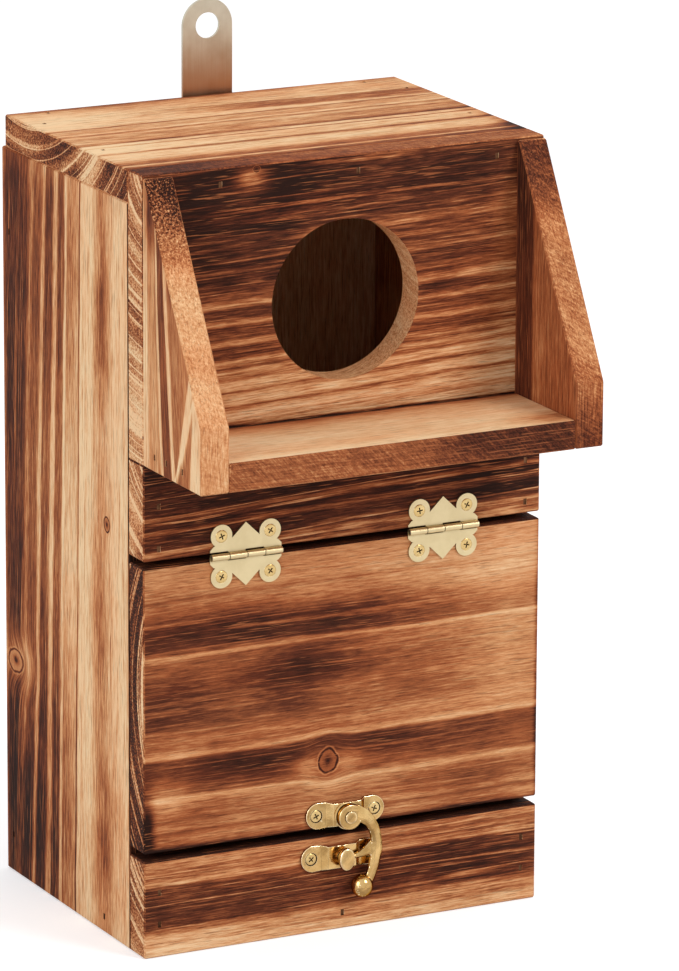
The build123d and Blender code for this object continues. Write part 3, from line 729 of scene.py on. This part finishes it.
def drawn_bar(name, stations, sides=4):
    """A bar drawn through stations: each a middle in mm, a width, a thickness and a turn.
    Four sides make it flat, and eight give it sloped edges."""
    put_down()
    (x, y, z), width, thick, turn = stations[0]
    here = at(x, y, z)
    bpy.ops.mesh.primitive_circle_add(
        vertices=sides, radius=MM / 2 / math.cos(math.pi / sides), fill_type="NGON",
        location=here, rotation=(0, math.radians(90), 0))
    bar = settle(name)
    edit_all(bar)

    def turned(angle, axis, centre):
        bpy.ops.transform.rotate(value=angle, orient_axis=axis, center_override=centre)

    # Half a step between corners lays a flat side on top
    turned(math.pi / sides, "X", here)
    bpy.ops.transform.resize(value=(1, thick, width), center_override=here)
    turned(math.radians(turn), "Y", here)
    for (x, y, z), next_width, next_thick, next_turn in stations[1:]:
        there = at(x, y, z)
        bpy.ops.mesh.extrude_region_move(TRANSFORM_OT_translate={"value": there - here})
        turned(math.radians(next_turn - turn), "Y", there)
        share = next_width / width
        bpy.ops.transform.resize(value=(share, next_thick / thick, share), center_override=there)
        here, width, thick, turn = there, next_width, next_thick, next_turn
    bpy.ops.mesh.select_all(action="SELECT")
    bpy.ops.mesh.normals_make_consistent(inside=False)
    put_down()
    return bar


def modify(piece, kind, **settings):
    """Adds a modifier and applies it."""
    take_up(piece)
    change = piece.modifiers.new("change", kind)
    for name, value in settings.items():
        setattr(change, name, value)
    bpy.ops.object.modifier_apply(modifier=change.name)


def eased(piece, width, segments, least=40):
    """Rounds the edges that turn by more than so many degrees."""
    modify(piece, "BEVEL", width=width * MM, segments=segments, limit_method="ANGLE",
           angle_limit=math.radians(least))


def smoothed(piece, sharp=40):
    """Shades a piece smooth, but for edges that turn by more than so many degrees."""
    take_up(piece)
    bpy.ops.object.shade_smooth_by_angle(angle=math.radians(sharp))


def joined(pieces):
    """Joins pieces into the first one."""
    take_up(pieces[0])
    for piece in pieces:
        piece.select_set(True)
    bpy.ops.object.join()
    return bpy.context.object


def melted(name, pieces, grain, rounds):
    """Joins pieces and melts them into one casting with soft edges."""
    body = joined(pieces)
    body.name = name
    modify(body, "REMESH", mode="VOXEL", voxel_size=grain * MM)
    modify(body, "SMOOTH", factor=0.5, iterations=rounds)
    take_up(body)
    bpy.ops.object.shade_smooth()
    return body


def throw_away(piece):
    """Deletes a piece that has served its turn."""
    take_up(piece)
    bpy.ops.object.delete()


def carved(piece, tool):
    """Cuts a tool's shape out of a piece."""
    modify(piece, "BOOLEAN", operation="DIFFERENCE", object=tool, solver="EXACT")
    throw_away(tool)


def copied(piece, name, shift):
    """A copy with its own mesh, moved by millimetres."""
    take_up(piece)
    bpy.ops.object.duplicate()
    bpy.ops.transform.translate(value=at(*shift))
    return settle(name)


def fitted(piece, finish, body, slot, *nodes):
    """Gives a piece its finish and lets it stand for its CAD nodes."""
    piece.data.materials.clear()
    piece.data.materials.append(finish)
    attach(piece, body)
    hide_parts(*nodes)


# Screws

def cross_screw(name, radius, rise, span, slot_width, sink, length):
    """A screw facing the front at the origin: a domed head with a tapered cross recess, a cone
    and a shank."""
    rim, cone = 0.3, 1.4
    overrun = 0.2
    core = radius * 0.55
    head = front_disc(name, (0, 0), radius, 0, rim, sides=40)
    drawn_back(head, (0, 0), (radius, rim), [(core, cone), (core, length - 2), (0.1, length)])
    domed(head, (radius * 0.12, rise * 0.6), (radius * 0.3, rise * 0.4))
    eased(head, 0.06, 2, least=20)
    for turn in (0, 90):
        put_down()
        bpy.ops.mesh.primitive_cube_add(size=MM, location=at(0, -rise + sink / 2 - overrun, 0),
                                        rotation=(0, math.radians(turn), 0),
                                        scale=(span, sink + 2 * overrun, slot_width))
        bar = settle("bar")
        edit_faces(bar, BACK)
        bpy.ops.transform.resize(value=(0.55, 1, 0.55))
        put_down()
        carved(head, bar)
    smoothed(head, sharp=32)
    return head


def drive_screws(pattern, body, slot, node, front, places, turns):
    """Copies of one screw at places on the front, each turned its own way."""
    for number, ((x, z), turn) in enumerate(zip(places, turns)):
        screw = copied(pattern, f"{node}_{number + 1}", (x, front, z))
        edit_all(screw)
        bpy.ops.transform.rotate(value=math.radians(turn), orient_axis="Y",
                                 center_override=at(x, front, z))
        put_down()
        fitted(screw, screw_brass, body, slot, node)


# Hinges, latch and catch, in mm

hinge_xs = (-39.3, 39.3)
lobe_reach = 9.55
rail_row, door_row = 152.65, 137.85
leaf_thick = 0.68

latch_middle = (0.45, 44.0)
catch_middle = (-1.5, 28.1)
pivot = (0.8, 43.1)
pivot_bore, catch_bore = 1.6, 1.9
ear_reach, screw_reach = 10.75, 11.7
ear_radius, ear_thick = 4.93, 1.02
screw_seat = 0.72

# Stations of the arm from its pivot: right, up, width, thickness, turn, and back
arm_blade = [
    (-0.6, 1.3, 6.4, 2.1, 0, -0.1),
    (2.8, 0.9, 6.5, 2.1, -13, -0.1),
    (5.6, -0.3, 5.4, 2.6, -30, -0.3),
    (7.8, -2.4, 4.5, 2.9, -46, -0.38),
    (9.3, -5.0, 4.2, 2.9, -62, -0.38),
    (10.2, -7.7, 4.1, 2.9, -78, -0.38),
    (10.6, -10.5, 4.3, 2.9, -90, -0.38),
    (10.5, -13.5, 4.7, 2.9, -94, -0.38),
    (10.1, -16.7, 4.1, 2.9, -99, -0.36),
    (9.5, -19.8, 3.9, 2.9, -105, -0.3),
    (8.5, -22.8, 3.8, 3.0, -113, -0.2),
    (7.3, -25.3, 3.8, 3.1, -124, -0.1),
    (6.0, -27.0, 3.6, 3.2, -130, 0.0),
]
arm_claw = [
    (10.4, -12.3, 7.0, 2.4, 202, -0.1),
    (8.2, -13.2, 5.0, 2.2, 200, 0.0),
    (6.2, -14.0, 3.4, 2.1, 195, 0.0),
    (4.2, -14.6, 2.4, 2.0, 189, 0.0),
    (2.2, -14.9, 1.8, 1.8, 185, 0.0),
    (0.2, -15.0, 1.4, 1.6, 180, 0.0),
]


def arm_bar(name, rows):
    """A bar of the latch arm with sloped edges, drawn through its rows."""
    pivot_x, pivot_z = pivot
    middle = proud(3.85)
    return drawn_bar(name, [
        ((pivot_x + right, middle + back, pivot_z + up), width, thick, turn)
        for right, up, width, thick, turn, back in rows], sides=8)


def latch_arm_piece():
    """The hooked arm: a round boss, a blade that sweeps round to a neck, a claw and a ball."""
    blade = arm_bar("latch_arm_cast", arm_blade)
    claw = arm_bar("claw", arm_claw)
    boss = front_disc("boss", pivot, 4.65, proud(4.8), proud(2.9))
    domed(boss, (0.5, 0.12))
    pivot_x, pivot_z = pivot
    ball = round_ball("ball", (pivot_x + 5.1, proud(3.95), pivot_z - 26.7), 1,
                      stretch=(4.0, 3.75, 4.25))
    arm = melted("latch_arm_cast", [blade, claw, boss, ball], 0.15, 12)
    carved(arm, front_disc("bore", pivot, pivot_bore, proud(6), proud(2), sides=32))
    fitted(arm, latch_brass, "latch_arm", "latch_brass", "latch_arm")


def latch_rivet_piece():
    """The rivet: a domed head, a shank through the arm and the plate, and a foot."""
    radius, shank, foot = 2.3, 1.5, 2.1
    shoulder = proud(4.9)
    rivet = front_disc("latch_rivet_turned", pivot, radius, proud(5.4), shoulder, sides=40)
    drawn_back(rivet, pivot, (radius, shoulder), [
        (shank, proud(4.85)), (shank, proud(1.55)), (foot, proud(1.5)), (foot, proud(1.05))])
    domed(rivet, (radius * 0.35, 0.12))
    eased(rivet, 0.14, 3)
    smoothed(rivet)
    fitted(rivet, latch_brass, "door", "latch_brass", "latch_rivet")


def catch_stud_piece():
    """The stud: an upright oval head on a post with a foot."""
    catch_x, catch_z = catch_middle
    upright = 8.2 / 6.0
    head = front_disc("catch_stud_turned", catch_middle, 3.05, proud(7.1), proud(5.1))
    edit_all(head)
    bpy.ops.transform.resize(value=(1, 1, upright),
                             center_override=at(catch_x, proud(5.8), catch_z))
    domed(head, (0.75, 0.14))
    eased(head, 0.5, 4)
    post = front_disc("post", catch_middle, 1.8, proud(5.3), proud(1.2), sides=32)
    foot = front_disc("foot", catch_middle, 2.3, proud(1.55), proud(0.95), sides=32)
    stud = joined([head, post, foot])
    smoothed(stud)
    fitted(stud, latch_brass, "box", "latch_brass", "catch_stud")


def ear_places(middle, reach):
    """The places to the left and to the right of a plate's middle."""
    x, z = middle
    return [(x - reach, z), (x + reach, z)]


def bridged_plate(name, middle, body, node, bore, bore_radius, pad_radius=0):
    """A cast plate with two round dished ears and a raised bridge between them, which may have
    a pad round its bore."""
    x, z = middle
    low, high = proud(0.5), proud(2.1)
    strip = drawn_bar(name, [
        ((x + reach, depth, z), width, 1.0, 0) for reach, depth, width in (
            (-ear_reach, low, 9.8), (-7.6, low, 9.4), (-5.6, high, 8.6), (0, high, 8.4),
            (5.6, high, 8.6), (7.6, low, 9.4), (ear_reach, low, 9.8))])
    parts = [strip]
    for place in ear_places(middle, ear_reach):
        parts.append(front_disc("ear", place, ear_radius, proud(ear_thick), proud(0.02)))
    if pad_radius:
        parts.append(front_disc("pad", bore, pad_radius, proud(2.8), proud(2.0)))
    plate = melted(name, parts, 0.14, 4)
    dish_radius, dish_floor = 11, 0.75
    for screw_x, screw_z in ear_places(middle, screw_reach):
        dish_middle = (screw_x, proud(dish_floor + dish_radius), screw_z)
        carved(plate, round_ball("dish", dish_middle, dish_radius))
        carved(plate, front_disc("hole", (screw_x, screw_z), 2.45, proud(2), proud(-1), sides=32))
    carved(plate, front_disc("bore", bore, bore_radius, proud(4), proud(-1), sides=32))
    smoothed(plate)
    fitted(plate, latch_brass, body, "latch_brass", node)


def metal_pieces():
    """The latch, the catch and the small screws of both and of the hinges."""
    latch_arm_piece()
    latch_rivet_piece()
    catch_stud_piece()
    bridged_plate("latch_plate_cast", latch_middle, "door", "latch_plate", pivot, pivot_bore,
                  pad_radius=5.1)
    bridged_plate("catch_plate_cast", catch_middle, "box", "catch_plate", catch_middle, catch_bore)
    small = cross_screw("small_screw", radius=2.3, rise=0.3, span=2.9, slot_width=0.6, sink=0.6,
                        length=9)
    for body, node, row, turns in (("box", "hinge_rail_screws", rail_row, (20, -35, 8, 62)),
                                   ("door", "hinge_door_screws", door_row, (-30, 50, 15, -12))):
        lobes = [(x + side * lobe_reach, row) for x in hinge_xs for side in (-1, 1)]
        drive_screws(small, body, "hinge_screw_brass", node, proud(leaf_thick), lobes, turns)
    for body, node, middle, turns in (("door", "latch_plate_screws", latch_middle, (25, -20)),
                                      ("box", "catch_plate_screws", catch_middle, (40, 5))):
        drive_screws(small, body, "latch_screw_brass", node, proud(screw_seat),
                     ear_places(middle, screw_reach), turns)
    throw_away(small)


# Floor, light and camera

def make_floor():
    """A pale floor that glows softly for the camera, and that metals mirror warmer, darker and
    patchy: a painted reflection.
    """
    put_down()
    bpy.ops.mesh.primitive_plane_add(size=24, location=(0, 0, -0.2 * MM))
    floor = bpy.context.object
    floor.name = "floor"
    finish, tree, shader = new_finish("pale_floor")
    shader.inputs["Roughness"].default_value = 0.9
    shader.inputs["Specular IOR Level"].default_value = 0.1
    glow = tree.nodes.new("ShaderNodeEmission")
    rays = tree.nodes.new("ShaderNodeLightPath")
    here = tree.nodes.new("ShaderNodeTexCoord").outputs["Object"]
    glossy = Field(tree, rays.outputs["Is Glossy Ray"])
    # Dark warm patches that only glossy rays see: a painted reflection in the metals.
    reflection_patches = noise(tree, here, scale=18).between(0.35, 0.62) * 0.5 + 0.5
    pale, mirrored = tone(228, 228, 230), tone(96, 84, 72)
    feed(tree, shader.inputs["Base Color"], mixed(tree, glossy * reflection_patches.flipped(), pale, mirrored))
    reach = tree.nodes.new("ShaderNodeVectorMath")
    reach.operation = "LENGTH"
    feed(tree, reach.inputs[0], here)
    far = Field(tree, reach.outputs["Value"]).between(1, 4)
    seen = Field(tree, rays.outputs["Is Camera Ray"]) + glossy * reflection_patches
    feed(tree, glow.inputs["Strength"], seen * (far * 0.2 + 0.42))
    both = tree.nodes.new("ShaderNodeAddShader")
    feed(tree, both.inputs[0], shader.outputs[0])
    feed(tree, both.inputs[1], glow.outputs[0])
    feed(tree, tree.nodes["Material Output"].inputs["Surface"], both.outputs[0])
    floor.data.materials.append(finish)


def make_world():
    """A white studio, dimmer where it only lights."""
    world = bpy.data.worlds.new("studio")
    scene.world = world
    world.use_nodes = True
    tree = world.node_tree
    sky = tree.nodes["Background"]
    rays = tree.nodes.new("ShaderNodeLightPath")
    seen = Field(tree, rays.outputs["Is Camera Ray"])
    for kind in ("Is Glossy Ray", "Is Transmission Ray"):
        seen = seen.sum("MAXIMUM", Field(tree, rays.outputs[kind]))
    feed(tree, sky.inputs["Strength"], seen * 0.45 + 0.55)
    sky.inputs["Color"].default_value = (1, 1, 1, 1)


def make_camera():
    """The camera at the photograph's angle: 27 degrees to the left, looking 15 degrees down."""
    yaw, pitch, roll = math.radians(27.12), math.radians(14.98), math.radians(0.28)
    look = Vector((math.sin(yaw), math.cos(yaw), 0))
    right = Vector((math.cos(yaw), -math.sin(yaw), 0))
    up = Vector((0, 0, 1))
    ahead = look * math.cos(pitch) - up * math.sin(pitch)
    above = look * math.sin(pitch) + up * math.cos(pitch)
    side = right * math.cos(roll) + above * math.sin(roll)
    top = above * math.cos(roll) - right * math.sin(roll)

    # Where the camera sees the box's lower front left corner: right, above and ahead in mm
    seen_right, seen_above, seen_ahead = -69.35, -168.62, 2396.2
    corner = Vector((left_face, front_face, box_foot))
    centre = corner - (side * seen_right + top * seen_above + ahead * seen_ahead)

    # The photograph's height and the distance of its picture plane, both in pixels
    picture_height, plane_distance = 971, 6737
    view = bpy.data.cameras.new("camera")
    view.lens = plane_distance * view.sensor_width / picture_height
    view.clip_end = 60
    camera = bpy.data.objects.new("camera", view)
    scene.collection.objects.link(camera)
    turn = Matrix((side, top, -ahead)).transposed().to_4x4()
    camera.matrix_world = Matrix.Translation(centre * MM) @ turn
    scene.camera = camera


def soft_lamp(name, place, size, watts):
    """A round area lamp that looks at the middle of the box. Places and sizes are in metres."""
    aim = Vector((0, -0.02, 0.15))
    light = bpy.data.lights.new(name, "AREA")
    light.shape = "DISK"
    light.size = size
    light.energy = watts
    lamp = bpy.data.objects.new(name, light)
    scene.collection.objects.link(lamp)
    lamp.location = place
    lamp.rotation_euler = (aim - Vector(place)).to_track_quat("-Z", "Y").to_euler()


metal_pieces()
make_floor()
make_world()
make_camera()
soft_lamp("key", (1.1, -1.8, 1.7), 1.0, 32)
soft_lamp("fill", (-2.2, -0.9, 1.0), 1.6, 24)
soft_lamp("top", (0.2, 0.3, 2.4), 1.4, 10)
scene.view_settings.view_transform = "Standard"
